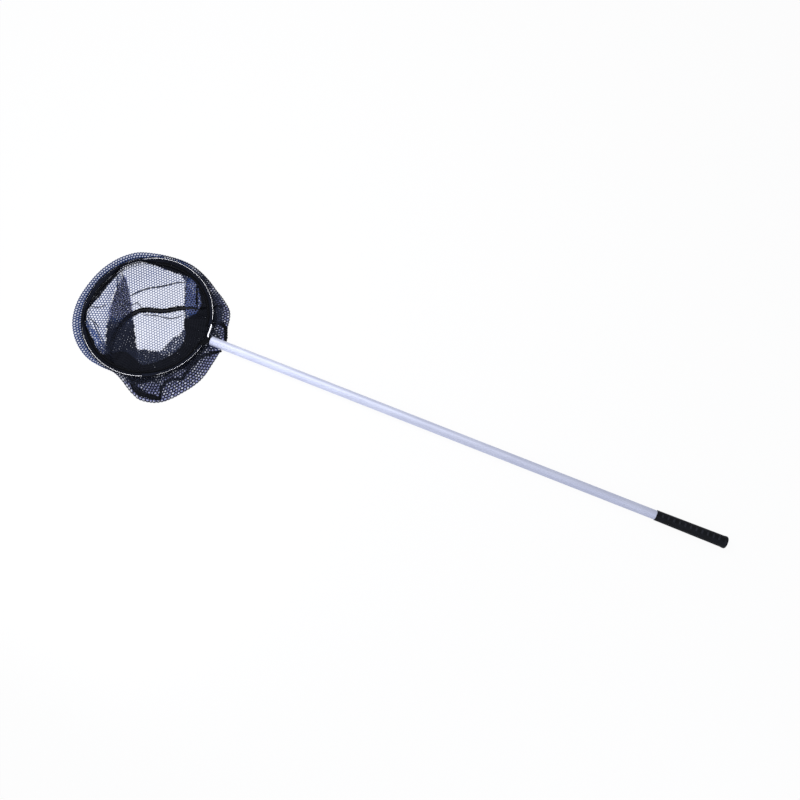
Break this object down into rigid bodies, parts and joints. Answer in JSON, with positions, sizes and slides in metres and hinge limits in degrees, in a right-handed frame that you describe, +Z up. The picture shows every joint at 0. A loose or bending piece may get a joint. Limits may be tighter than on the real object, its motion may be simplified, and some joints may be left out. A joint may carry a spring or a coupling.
{
  "type": "pond net",
  "caption": "Long-handled pond net: a round wire hoop with a sewn black mesh bag lying collapsed under it, on a straight aluminium tube with a tapered rubber grip.",
  "frame": {"origin": "on the floor under the centre of the hoop, on the underside of the bag", "axes": "+X along the handle from the hoop to the grip, +Z up, square to the plane of the hoop"},
  "size_m": [1.567, 0.3558, 0.0272],
  "materials": {
    "tube_aluminium": "satin anodised, natural silver",
    "rivet_aluminium": "plain drawn",
    "hoop_steel": "bright zinc-plated wire",
    "grip_rubber": "moulded, satin black",
    "plug_plastic": "moulded, black",
    "net_fabric": "knotless black mesh, open weave",
    "seam_thread": "overlocked black thread"
  },
  "bodies": {
    "root": {"handle_tube": "tube_aluminium", "grip": "grip_rubber", "head_plug": "plug_plastic", "plug_rivet": "rivet_aluminium", "hoop_wire": "hoop_steel", "hem_casing": "net_fabric", "bag_panel_far": "net_fabric", "bag_panel_near": "net_fabric", "bag_seam": "seam_thread"}
  },
  "joints": []
}
